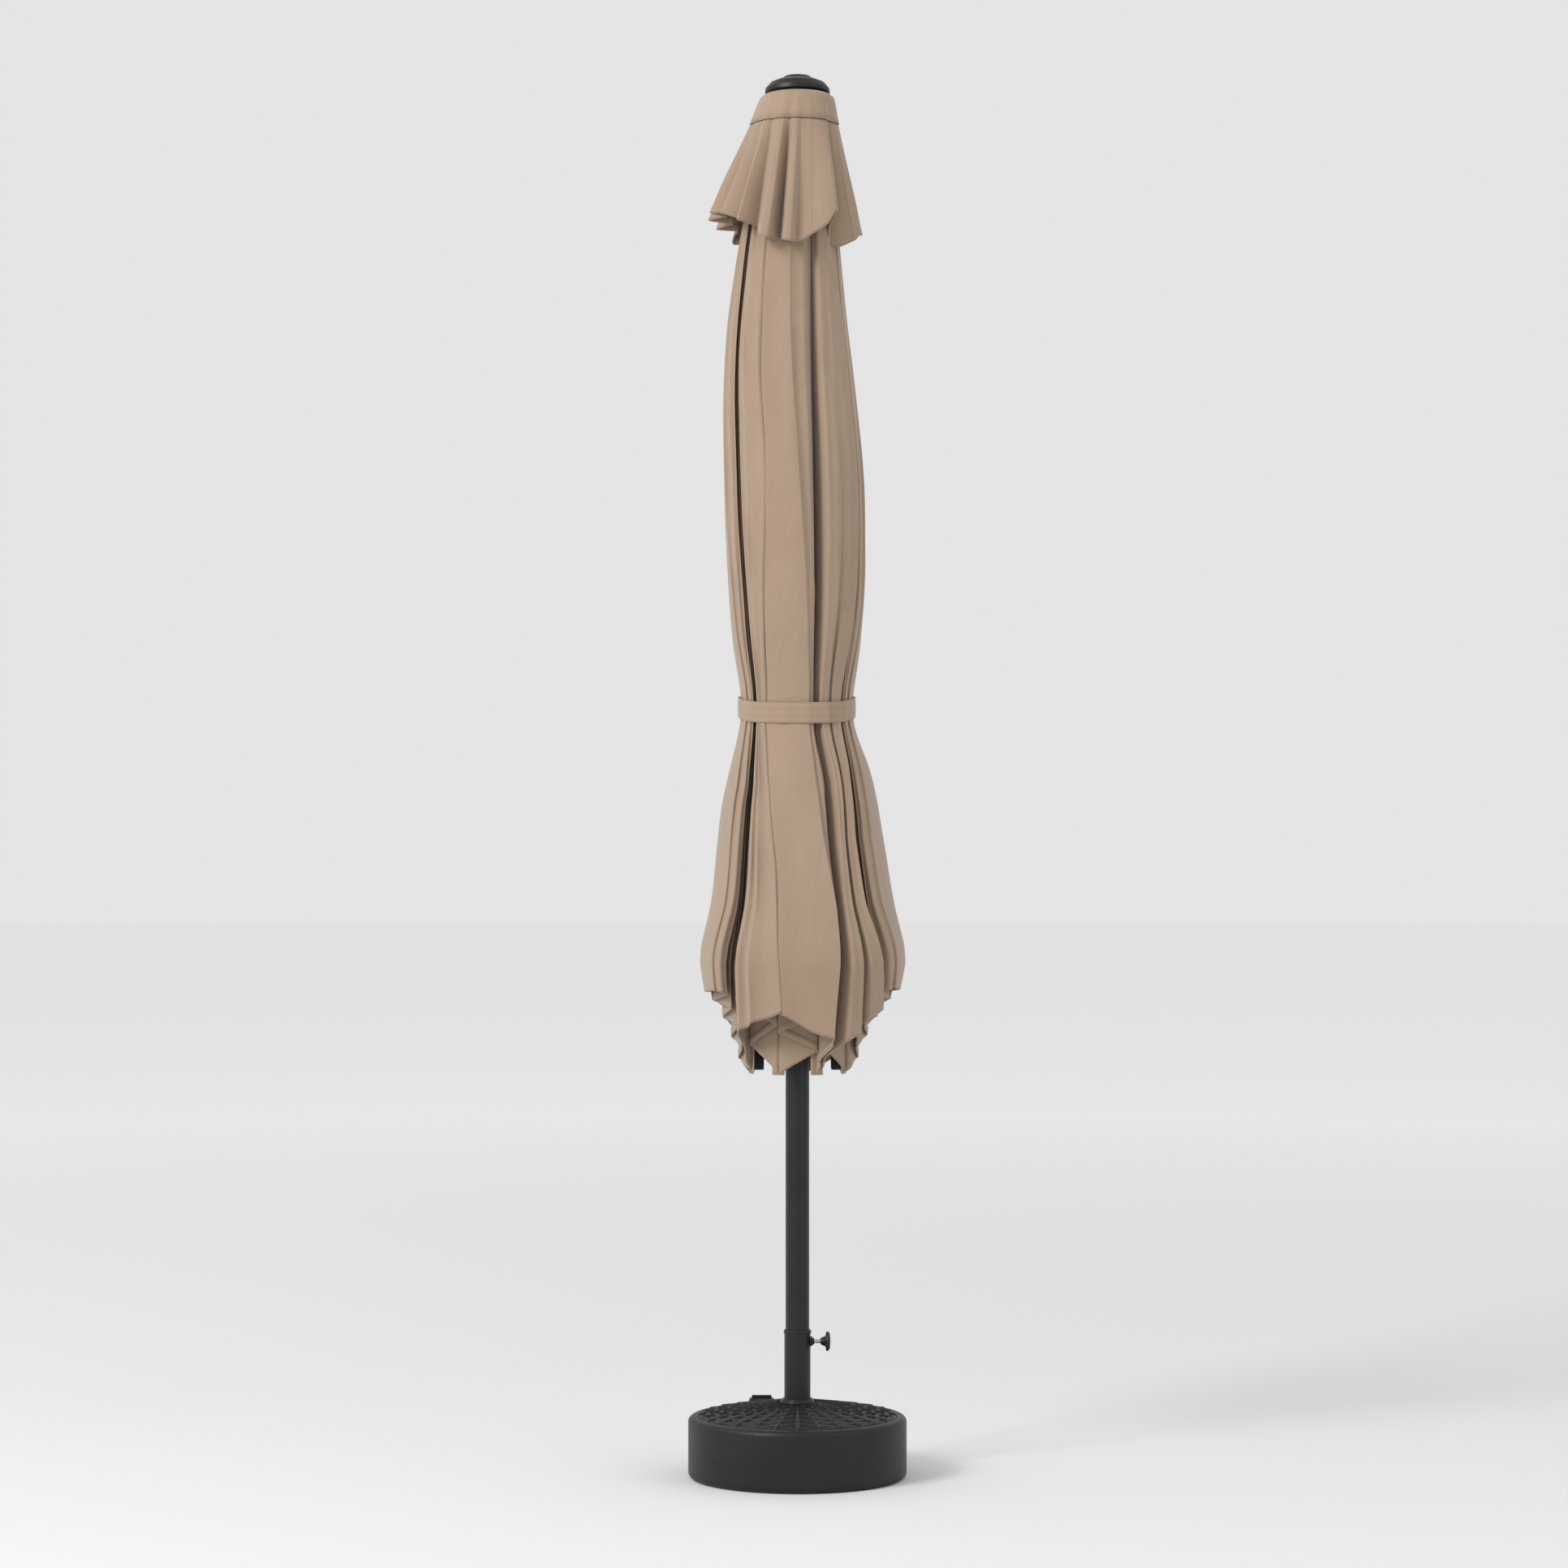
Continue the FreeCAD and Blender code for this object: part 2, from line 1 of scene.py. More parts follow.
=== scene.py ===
"""Patio umbrella with base, closed and tied: a crank-lift market umbrella of tan cloth in a round base.

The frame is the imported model, in metres: +Z up, the pole on the Z axis, the crank at +Y, the clamp at +X.
"""
import bpy
import math
import numpy as np
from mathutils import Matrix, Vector


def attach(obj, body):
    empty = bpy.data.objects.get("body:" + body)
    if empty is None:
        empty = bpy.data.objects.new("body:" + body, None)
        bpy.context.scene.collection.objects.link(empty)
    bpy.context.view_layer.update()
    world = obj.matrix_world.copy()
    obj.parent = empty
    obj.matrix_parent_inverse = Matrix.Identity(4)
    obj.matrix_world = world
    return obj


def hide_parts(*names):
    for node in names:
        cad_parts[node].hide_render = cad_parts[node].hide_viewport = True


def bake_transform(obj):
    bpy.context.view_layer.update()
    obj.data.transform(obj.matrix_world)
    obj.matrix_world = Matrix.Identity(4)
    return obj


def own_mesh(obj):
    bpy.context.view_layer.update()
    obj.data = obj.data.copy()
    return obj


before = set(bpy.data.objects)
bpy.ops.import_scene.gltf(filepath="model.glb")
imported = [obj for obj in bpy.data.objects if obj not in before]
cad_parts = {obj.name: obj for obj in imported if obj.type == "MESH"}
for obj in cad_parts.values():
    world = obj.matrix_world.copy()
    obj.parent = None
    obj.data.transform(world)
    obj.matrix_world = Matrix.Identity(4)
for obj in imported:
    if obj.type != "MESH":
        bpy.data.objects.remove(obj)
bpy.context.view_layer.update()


# ---------------------------------------------------------------- powder-coated tubes and steel
# The pole, ground tube, ribs, struts and crank arm are steel, blasted and powder coated a satin charcoal
# that reads slightly blue. The coat has a fine orange peel; it thins to a paler line on handled edges, which
# the material leaves out.
def nodes_of(name):
    """A new material with its tree, its links and its Principled shader."""
    made = bpy.data.materials.new(name)
    made.use_nodes = True
    tree = made.node_tree
    return made, tree.nodes, tree.links, tree.nodes["Principled BSDF"]


def put(nodes, kind, **sizes):
    """A node with its properties and the plain values of its inputs."""
    made = nodes.new(kind)
    for name, value in sizes.items():
        if hasattr(made, name):
            setattr(made, name, value)
        else:
            made.inputs[name.replace("_", " ")].default_value = value
    return made


def shades(nodes, links, source, low, high, start=0.3, end=0.7):
    """A ramp between two colours, driven by a value."""
    ramp = nodes.new("ShaderNodeValToRGB")
    ramp.color_ramp.elements[0].position = start
    ramp.color_ramp.elements[0].color = (*low, 1)
    ramp.color_ramp.elements[1].position = end
    ramp.color_ramp.elements[1].color = (*high, 1)
    links.new(source, ramp.inputs[0])
    return ramp


def between(nodes, links, source, low, high, start=0.0, end=1.0):
    """A value remapped from one span to another."""
    span = nodes.new("ShaderNodeMapRange")
    for name, number in (("From Min", start), ("From Max", end), ("To Min", low), ("To Max", high)):
        span.inputs[name].default_value = number
    links.new(source, span.inputs["Value"])
    return span


def mixed(nodes, links, first, second, factor, blend="MIX"):
    """Two colours mixed; each may be a socket or a plain colour, and the factor a socket or a number."""
    mix = nodes.new("ShaderNodeMix")
    mix.data_type = "RGBA"
    mix.blend_type = blend
    for place, thing in ((6, first), (7, second), (0, factor)):
        if isinstance(thing, bpy.types.NodeSocket):
            links.new(thing, mix.inputs[place])
        elif place == 0:
            mix.inputs[0].default_value = thing
        else:
            mix.inputs[place].default_value = (*thing, 1)
    return mix.outputs[2]


def socket(group, name, kind, side, value=None):
    made = group.interface.new_socket(name=name, in_out=side, socket_type="NodeSocket" + kind)
    if value is not None:
        made.default_value = value
    return made


def grime_group():
    """Dust and handling: a soft patchy mask, and a fine one for specks."""
    group = bpy.data.node_groups.new("grime", "ShaderNodeTree")
    socket(group, "Patch Size", "Float", "INPUT", 9.0)
    socket(group, "Speck Size", "Float", "INPUT", 900.0)
    socket(group, "Patches", "Float", "OUTPUT")
    socket(group, "Specks", "Float", "OUTPUT")
    nodes, links = group.nodes, group.links
    inside, outside = nodes.new("NodeGroupInput"), nodes.new("NodeGroupOutput")
    where = nodes.new("ShaderNodeTexCoord")
    for name, detail, out in (("Patch Size", 5.0, "Patches"), ("Speck Size", 2.0, "Specks")):
        noise = put(nodes, "ShaderNodeTexNoise", Detail=detail, Roughness=0.6)
        links.new(where.outputs["Object"], noise.inputs["Vector"])
        links.new(inside.outputs[name], noise.inputs["Scale"])
        links.new(noise.outputs["Fac"], outside.inputs[out])
    return group


grime = grime_group()


def grimy(nodes, patch, speck):
    made = nodes.new("ShaderNodeGroup")
    made.node_tree = grime
    made.inputs["Patch Size"].default_value = patch
    made.inputs["Speck Size"].default_value = speck
    return made


def powder_coat():
    made, nodes, links, shader = nodes_of("powder_coat")
    dirt = grimy(nodes, 14, 1400)
    tone = shades(nodes, links, dirt.outputs["Patches"], (0.0055, 0.0058, 0.0075), (0.0105, 0.011, 0.0135))
    dust = between(nodes, links, dirt.outputs["Specks"], 0.0, 0.25, 0.62, 0.75)
    colour = mixed(nodes, links, tone.outputs[0], (0.085, 0.085, 0.082), dust.outputs[0])
    links.new(colour, shader.inputs["Base Color"])
    rough = between(nodes, links, dirt.outputs["Patches"], 0.30, 0.46, 0.3, 0.7)
    links.new(rough.outputs[0], shader.inputs["Roughness"])
    bump = put(nodes, "ShaderNodeBump", Strength=0.16, Distance=0.0004)
    links.new(dirt.outputs["Specks"], bump.inputs["Height"])
    links.new(bump.outputs[0], shader.inputs["Normal"])
    shader.inputs["Coat Weight"].default_value = 0.06
    shader.inputs["Coat Roughness"].default_value = 0.3
    shader.inputs["Specular IOR Level"].default_value = 0.32
    return made


coated = powder_coat()


def dress(name, material):
    """Gives a CAD node its finish."""
    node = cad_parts[name]
    node.data.materials.clear()
    node.data.materials.append(material)


for name in ("base_tube", "clamp_nut", "lower_pole", "upper_pole", "pole_ferrule", "crank_arm"):
    dress(name, coated)
for number in range(1, 9):
    dress(f"rib_{number}", coated)
    dress(f"strut_{number}", coated)


# ---------------------------------------------------------------- moulded plastic parts
# Caps, notch, runner, crank box, knob, grip and collars are injection-moulded glass-filled nylon in black,
# with a fine satin grain. The base's two shells are blow-moulded polyethylene, softer and a shade greyer.
def moulded(name, low, high, rough_low, rough_high, grain):
    made, nodes, links, shader = nodes_of(name)
    dirt = grimy(nodes, 11, grain)
    tone = shades(nodes, links, dirt.outputs["Patches"], low, high)
    dust = between(nodes, links, dirt.outputs["Specks"], 0.0, 0.35, 0.64, 0.80)
    colour = mixed(nodes, links, tone.outputs[0], (0.075, 0.073, 0.068), dust.outputs[0])
    links.new(colour, shader.inputs["Base Color"])
    rough = between(nodes, links, dirt.outputs["Patches"], rough_low, rough_high, 0.3, 0.7)
    links.new(rough.outputs[0], shader.inputs["Roughness"])
    bump = put(nodes, "ShaderNodeBump", Strength=0.22, Distance=0.0003)
    links.new(dirt.outputs["Specks"], bump.inputs["Height"])
    links.new(bump.outputs[0], shader.inputs["Normal"])
    shader.inputs["Specular IOR Level"].default_value = 0.36
    return made


nylon = moulded("black_nylon", (0.0045, 0.0045, 0.0052), (0.0095, 0.0095, 0.0105), 0.34, 0.50, 1900)
base_plastic = moulded("base_plastic", (0.0048, 0.0050, 0.0058), (0.0100, 0.0103, 0.0113), 0.40, 0.55, 1500)
for name in ("base_collar", "tube_mouth_ring", "clamp_pad", "clamp_knob", "pole_foot_plug",
             "crank_housing_front", "crank_housing_back", "top_hub", "cord_pulley", "finial_cap",
             "finial_button", "runner", "crank_grip"):
    dress(name, nylon)
for name in ("base_lower_shell", "base_upper_shell", "fill_cap"):
    dress(name, base_plastic)


# ---------------------------------------------------------------- bright hardware
# Screws, hinge wire, pins and the crank's spool are zinc-plated steel, brushed by the wire drawing.
def plated():
    made, nodes, links, shader = nodes_of("zinc_plate")
    dirt = grimy(nodes, 60, 900)
    tone = shades(nodes, links, dirt.outputs["Patches"], (0.42, 0.42, 0.43), (0.62, 0.62, 0.60))
    links.new(tone.outputs[0], shader.inputs["Base Color"])
    rough = between(nodes, links, dirt.outputs["Specks"], 0.25, 0.45, 0.3, 0.7)
    links.new(rough.outputs[0], shader.inputs["Roughness"])
    shader.inputs["Metallic"].default_value = 1.0
    return made


zinc = plated()
for name in ("flange_screws", "clamp_screw", "pole_joint_pin", "housing_screws", "hinge_wire", "pulley_pin",
             "crank_spool"):
    dress(name, zinc)


# ---------------------------------------------------------------- ballast
# Damp sand poured in through the filling hole; hidden, and seen only when the shells are taken apart.
def packed_sand():
    made, nodes, links, shader = nodes_of("packed_sand")
    dirt = grimy(nodes, 25, 1100)
    tone = shades(nodes, links, dirt.outputs["Specks"], (0.30, 0.25, 0.18), (0.52, 0.46, 0.36))
    links.new(tone.outputs[0], shader.inputs["Base Color"])
    shader.inputs["Roughness"].default_value = 0.95
    bump = put(nodes, "ShaderNodeBump", Strength=0.6, Distance=0.001)
    links.new(dirt.outputs["Specks"], bump.inputs["Height"])
    links.new(bump.outputs[0], shader.inputs["Normal"])
    return made


dress("ballast_fill", packed_sand())


# ---------------------------------------------------------------- woven top of the base
# The upper shell's top is moulded as wicker: flat stakes run out from the tube, and thick strands go round
# over and under them. It is one moulding with the shell, so the strands are rounded and run together.
def grid_mesh(name, points, closed_u=False, closed_v=False):
    """A mesh from a grid of points, rows by columns, wound so that its faces point along dv x du."""
    rows, columns = points.shape[:2]
    mesh = bpy.data.meshes.new(name)
    index = np.arange(rows * columns).reshape(rows, columns)
    if closed_v:
        index = np.vstack([index, index[:1]])
    if closed_u:
        index = np.hstack([index, index[:, :1]])
    faces = np.stack([index[:-1, :-1], index[1:, :-1], index[1:, 1:], index[:-1, 1:]], axis=-1).reshape(-1, 4)
    mesh.from_pydata(points.reshape(-1, 3).tolist(), [], faces.tolist())
    mesh.shade_smooth()
    return mesh


def piece(name, mesh, *materials):
    made = bpy.data.objects.new(name, mesh)
    bpy.context.scene.collection.objects.link(made)
    for material in materials:
        mesh.materials.append(material)
    return made


stakes, strands = 28, 12
inner_edge, outer_edge = 0.0285, 0.1595
turn = np.linspace(0, 2 * math.pi, stakes * 20, endpoint=False)
reach = np.linspace(inner_edge, outer_edge, strands * 9 + 1)
turn_grid, reach_grid = np.meshgrid(turn, reach)
slope_low, slope_high = 0.1170, 0.0968
lie = slope_low + (slope_high - slope_low) * (reach_grid - 0.03) / 0.128
pitch = (outer_edge - inner_edge) / strands
strand_number = np.minimum(np.floor((reach_grid - inner_edge) / pitch), strands - 1)
across_strand = ((reach_grid - inner_edge) / pitch - strand_number - 0.5) / 0.5
stake_phase = turn_grid * stakes / (2 * math.pi)
across_stake = (stake_phase - np.round(stake_phase)) / 0.5
over = np.where((np.round(stake_phase) + strand_number) % 2 == 0, 1.0, -1.0)
swell = np.cos(across_stake * math.pi / 2) * over
strand_height = 0.0029 * np.sqrt(np.clip(1 - across_strand ** 2, 0, 1)) + 0.0009 * swell
stake_height = 0.0047 * np.sqrt(np.clip(1 - (across_stake / 0.20) ** 2, 0, 1)) + 0.0004
edge_fade = np.clip(np.minimum(reach_grid - inner_edge, outer_edge - reach_grid) / 0.003, 0, 1)
relief = np.maximum(strand_height, stake_height) * edge_fade - 0.0006 * (1 - edge_fade)
top = np.stack([reach_grid * np.cos(turn_grid), reach_grid * np.sin(turn_grid), lie + relief], axis=-1)
hole = np.array([-0.058, 0.118])
away = np.hypot(top[..., 0] - hole[0], top[..., 1] - hole[1])
top[..., 2] = np.where(away < 0.0225, lie - 0.0015, top[..., 2])
wicker_mesh = grid_mesh("base_wicker_top", top[::-1], closed_u=True)
wicker = piece("base_wicker_top", wicker_mesh, base_plastic)
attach(wicker, "base")


# ---------------------------------------------------------------- canopy cloth
# Solution-dyed polyester in plain weave, tan, proofed on the back. It wrinkles softly and shows its weave up
# close, a flat-felled seam on each rib, a rolled hem with two rows of stitches, and a soft patchy tone.
def weave_group():
    """Plain weave from a cloth map in metres: thread height, and a slight difference between threads."""
    group = bpy.data.node_groups.new("plain_weave", "ShaderNodeTree")
    socket(group, "Cloth", "Vector", "INPUT")
    socket(group, "Threads", "Float", "INPUT", 1500.0)
    socket(group, "Height", "Float", "OUTPUT")
    socket(group, "Slub", "Float", "OUTPUT")
    nodes, links = group.nodes, group.links
    inside, outside = nodes.new("NodeGroupInput"), nodes.new("NodeGroupOutput")
    split = nodes.new("ShaderNodeSeparateXYZ")
    links.new(inside.outputs["Cloth"], split.inputs[0])
    waves = []
    for axis in ("X", "Y"):
        scaled = put(nodes, "ShaderNodeMath", operation="MULTIPLY")
        links.new(split.outputs[axis], scaled.inputs[0])
        links.new(inside.outputs["Threads"], scaled.inputs[1])
        wave = put(nodes, "ShaderNodeMath", operation="SINE")
        links.new(scaled.outputs[0], wave.inputs[0])
        waves.append(wave)
    cross = put(nodes, "ShaderNodeMath", operation="MULTIPLY")
    links.new(waves[0].outputs[0], cross.inputs[0])
    links.new(waves[1].outputs[0], cross.inputs[1])
    links.new(cross.outputs[0], outside.inputs["Height"])
    stretch = put(nodes, "ShaderNodeMapping")
    stretch.inputs["Scale"].default_value = (420, 9, 1)
    links.new(inside.outputs["Cloth"], stretch.inputs["Vector"])
    slub = put(nodes, "ShaderNodeTexNoise", Scale=1.0, Detail=3.0)
    links.new(stretch.outputs[0], slub.inputs["Vector"])
    links.new(slub.outputs["Fac"], outside.inputs["Slub"])
    return group


plain_weave = weave_group()


def stitch_group():
    """Two rows of lockstitch along a hem, from the cloth map: 1 on the thread, 0 between."""
    group = bpy.data.node_groups.new("hem_stitches", "ShaderNodeTree")
    socket(group, "Cloth", "Vector", "INPUT")
    socket(group, "Thread", "Float", "OUTPUT")
    nodes, links = group.nodes, group.links
    inside, outside = nodes.new("NodeGroupInput"), nodes.new("NodeGroupOutput")
    split = nodes.new("ShaderNodeSeparateXYZ")
    links.new(inside.outputs["Cloth"], split.inputs[0])
    along = put(nodes, "ShaderNodeMath", operation="MULTIPLY")
    along.inputs[1].default_value = 2 * math.pi / 0.0034
    links.new(split.outputs["X"], along.inputs[0])
    wave = put(nodes, "ShaderNodeMath", operation="SINE")
    links.new(along.outputs[0], wave.inputs[0])
    dash = put(nodes, "ShaderNodeMath", operation="GREATER_THAN")
    dash.inputs[1].default_value = -0.35
    links.new(wave.outputs[0], dash.inputs[0])
    rows = []
    for gap in (0.0024, 0.0102):
        row = put(nodes, "ShaderNodeMath", operation="COMPARE")
        row.inputs[1].default_value = gap
        row.inputs[2].default_value = 0.00045
        links.new(split.outputs["Y"], row.inputs[0])
        rows.append(row)
    either = put(nodes, "ShaderNodeMath", operation="MAXIMUM")
    links.new(rows[0].outputs[0], either.inputs[0])
    links.new(rows[1].outputs[0], either.inputs[1])
    both = put(nodes, "ShaderNodeMath", operation="MULTIPLY")
    links.new(either.outputs[0], both.inputs[0])
    links.new(dash.outputs[0], both.inputs[1])
    links.new(both.outputs[0], outside.inputs["Thread"])
    return group


hem_stitches = stitch_group()


def canopy_cloth():
    made, nodes, links, shader = nodes_of("canopy_cloth")
    where = put(nodes, "ShaderNodeUVMap", uv_map="Cloth")
    weave = nodes.new("ShaderNodeGroup")
    weave.node_tree = plain_weave
    weave.inputs["Threads"].default_value = 4200.0
    links.new(where.outputs[0], weave.inputs["Cloth"])
    dirt = grimy(nodes, 5.0, 240)
    darker, lighter = (0.318, 0.226, 0.156), (0.362, 0.264, 0.188)
    tone = shades(nodes, links, dirt.outputs["Patches"], darker, lighter, 0.25, 0.75)
    thread = between(nodes, links, weave.outputs["Slub"], 0.0, 0.35, 0.35, 0.75)
    colour = mixed(nodes, links, tone.outputs[0], (0.270, 0.192, 0.132), thread.outputs[0])
    sewn = nodes.new("ShaderNodeGroup")
    sewn.node_tree = hem_stitches
    links.new(where.outputs[0], sewn.inputs["Cloth"])
    row = between(nodes, links, sewn.outputs["Thread"], 0.0, 0.7, 0.0, 1.0)
    colour = mixed(nodes, links, colour, (0.20, 0.138, 0.092), row.outputs[0])
    links.new(colour, shader.inputs["Base Color"])
    shader.inputs["Roughness"].default_value = 0.82
    shader.inputs["Sheen Weight"].default_value = 0.35
    shader.inputs["Sheen Roughness"].default_value = 0.45
    shader.inputs["Specular IOR Level"].default_value = 0.3
    pressed = put(nodes, "ShaderNodeTexNoise", Scale=38.0, Detail=4.0, Roughness=0.55)
    place = nodes.new("ShaderNodeTexCoord")
    links.new(place.outputs["Object"], pressed.inputs["Vector"])
    soft = put(nodes, "ShaderNodeBump", Strength=0.25, Distance=0.003)
    links.new(pressed.outputs["Fac"], soft.inputs["Height"])
    fine = put(nodes, "ShaderNodeBump", Strength=0.35, Distance=0.0003)
    links.new(weave.outputs["Height"], fine.inputs["Height"])
    links.new(soft.outputs[0], fine.inputs["Normal"])
    links.new(fine.outputs[0], shader.inputs["Normal"])
    return made


cloth = canopy_cloth()

# The closed bundle: how far it leans from the pole, and how wide it is, from the top of the cloth to the hem.
bundle = np.array([  # height, lean along X, radius, in millimetres
    (2196, 0, 57), (2120, -3, 64), (2040, -8, 72), (1970, -13, 81), (1937, -14, 85),
    (1846, -16, 96), (1781, -15, 103), (1716, -13, 108), (1651, -9, 111.5), (1586, -6, 114),
    (1521, -4, 114.4), (1456, -2, 113), (1391, -1, 110), (1326, -1, 104), (1262, -1, 93),
    (1228, -1, 90), (1200, -1, 93), (1165, 1, 103), (1131, 3, 114), (1066, 4, 130),
    (1001, 6, 139), (936, 8, 147), (897, 9, 154), (871, 9, 161), (838, 9, 170),
    (812, 9, 173), (770, 8, 163), (730, 7, 155), (690, 6, 150), (640, 4, 145),
])[::-1] / 1000
rib_start, rib_side = 0.030, 0.0205
folded, opened = math.radians(1), math.radians(70)
notch_height = 2.188


def smooth_profile(height, column):
    """The bundle's lean or radius at a height, rounded over 40 mm."""
    total = 0
    for step, weight in ((-0.03, 0.2), (0, 0.6), (0.03, 0.2)):
        total = total + weight * np.interp(height + step, bundle[:, 0], bundle[:, column])
    return total


def chaikin(points, times=2):
    """Rounds a polyline's corners; works on rows of polylines at once."""
    for _ in range(times):
        low = points[:, :-1] * 0.75 + points[:, 1:] * 0.25
        high = points[:, :-1] * 0.25 + points[:, 1:] * 0.75
        cut = np.stack([low, high], axis=2).reshape(points.shape[0], -1, points.shape[2])
        points = np.concatenate([points[:, :1], cut, points[:, -1:]], axis=1)
    return points


def azimuth(number):
    return math.radians(22.5 + 45 * number)


def spread(made):
    """Bakes the piece of cloth's place in the scene into its mesh."""
    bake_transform(made)
    return made


def ripple(height, seed, size):
    """A slow wander down the cloth, a few millimetres either way."""
    wander = np.random.default_rng(seed)
    total = np.zeros_like(height)
    for wave in (0.46, 0.27, 0.17):
        total += wander.uniform(-1, 1) * np.sin(2 * math.pi * (height / wave + wander.uniform()))
    return total * size


# How each gore's outer flap lies: places across the sector, from -1 at the near rib to 1 at the far one, with
# how deep each sits under the bundle's outline in millimetres. One row for each height.
plain_flap = {
    2.20: ((-1, 1), (-.9, 0), (-.5, 1), (-.1, 1), (.0, 0), (.2, 1), (.4, 1), (.6, 2), (.74, 3), (.86, 6)),
    1.95: ((-1.02, 3), (-.9, 0), (-.5, 2), (-.1, 1), (.0, 0), (.2, 3), (.4, 4), (.6, 3), (.74, 8), (.84, 18)),
    1.59: ((-1.04, 2), (-.92, 0), (-.45, 4), (.0, 1), (.1, 0),
           (.25, 4), (.45, 5), (.64, 3), (.76, 9), (.84, 24)),
    1.27: ((-1.0, 2), (-.9, 0), (-.5, 2), (.0, 1), (.15, 0), (.22, 4), (.4, 2), (.6, 1), (.72, 7), (.82, 16)),
    1.22: ((-1.0, 1), (-.9, 0), (-.5, 1), (.0, 1), (.15, 0), (.22, 3), (.4, 2), (.6, 1), (.72, 5), (.82, 13)),
    1.07: ((-1.06, 3), (-.94, 0), (-.5, 6), (-.1, 3), (.1, 0),
           (.2, 7), (.4, 5), (.6, 2), (.72, 12), (.80, 34)),
    0.76: ((-1.08, 4), (-.95, 0), (-.5, 11), (-.1, 6), (.1, 0),
           (.24, 12), (.42, 9), (.62, 3), (.74, 16), (.82, 50)),
    0.60: ((-1.08, 4), (-.95, 0), (-.5, 11), (-.1, 6), (.1, 0),
           (.24, 12), (.42, 9), (.62, 3), (.74, 16), (.82, 50)),
}
front_flap = {
    2.20: plain_flap[2.20],
    1.95: ((-1.02, 3), (-.9, 0), (-.5, 3), (-.2, 1), (.0, 0),
           (.1, 4), (.35, 6), (.56, 5), (.70, 9), (.80, 20)),
    1.59: ((-1.04, 4), (-.94, 1), (-.45, 5), (.08, 1), (.22, 0),
           (.30, 6), (.48, 8), (.64, 7), (.74, 13), (.82, 28)),
    1.27: ((-1.02, 4), (-.92, 1), (-.5, 1), (.3, 1), (.70, 0),
           (.74, 3), (.78, 3), (.82, 3), (.86, 8), (.90, 17)),
    1.22: ((-1.02, 3), (-.92, 1), (-.5, 1), (.1, 1), (.70, 0),
           (.74, 3), (.78, 2), (.82, 2), (.86, 6), (.90, 13)),
    1.10: ((-1.02, 4), (-.94, 1), (-.45, 5), (.05, 3), (.44, 0),
           (.50, 6), (.62, 5), (.72, 4), (.82, 12), (.88, 32)),
    1.02: ((-1.02, 5), (-.94, 1), (-.45, 6), (.05, 4), (.53, 0),
           (.58, 6), (.68, 5), (.76, 4), (.84, 14), (.90, 36)),
    0.90: ((-1.02, 6), (-.95, 1), (-.4, 7), (.1, 5), (.80, 0),
           (.83, 4), (.85, 4), (.87, 5), (.89, 20), (.91, 45)),
    0.60: ((-1.02, 6), (-.95, 1), (-.4, 8), (.1, 5), (.84, 0),
           (.86, 4), (.87, 4), (.88, 6), (.90, 24), (.92, 60)),
}
pleated_flap = {
    2.20: plain_flap[2.20],
    1.95: plain_flap[1.95],
    1.59: ((-1.04, 2), (-.92, 0), (-.6, 6), (-.25, 2), (.05, 3),
           (.18, 0), (.45, 3), (.64, 2), (.76, 7), (.84, 22)),
    1.27: ((-1.0, 2), (-.9, 0), (-.5, 2), (-.1, 2), (.0, 10), (.1, 0), (.4, 2), (.6, 1), (.72, 6), (.82, 15)),
    1.07: ((-1.0, 3), (-.92, 0), (-.5, 2), (-.15, 1), (-.04, 20),
           (.06, 0), (.35, 3), (.62, 1), (.76, 9), (.84, 32)),
    0.76: ((-1.0, 4), (-.92, 0), (-.5, 3), (-.18, 1), (-.06, 32),
           (.04, 0), (.35, 5), (.62, 1), (.76, 14), (.84, 50)),
    0.60: ((-1.0, 4), (-.92, 0), (-.5, 3), (-.18, 1), (-.06, 32),
           (.04, 0), (.35, 5), (.62, 1), (.76, 14), (.84, 50)),
}
broad_flap = {
    2.20: plain_flap[2.20],
    1.95: plain_flap[1.95],
    1.59: ((-1.04, 2), (-.92, 0), (-.5, 3), (-.1, 2), (.3, 0),
           (.4, 5), (.6, 4), (.74, 3), (.82, 8), (.88, 20)),
    1.27: ((-1.0, 2), (-.9, 0), (-.5, 1), (.0, 1), (.5, 0),
           (.56, 4), (.68, 2), (.78, 1), (.84, 6), (.90, 14)),
    1.07: ((-1.02, 3), (-.93, 0), (-.5, 3), (.0, 3), (.55, 0),
           (.60, 4), (.70, 3), (.80, 1), (.86, 10), (.91, 32)),
    0.76: ((-1.02, 3), (-.94, 0), (-.4, 5), (.1, 5), (.60, 0),
           (.64, 5), (.72, 3), (.82, 1), (.88, 12), (.92, 46)),
    0.60: ((-1.02, 3), (-.94, 0), (-.4, 5), (.1, 5), (.60, 0),
           (.64, 5), (.72, 3), (.82, 1), (.88, 12), (.92, 46)),
}
passes = 9
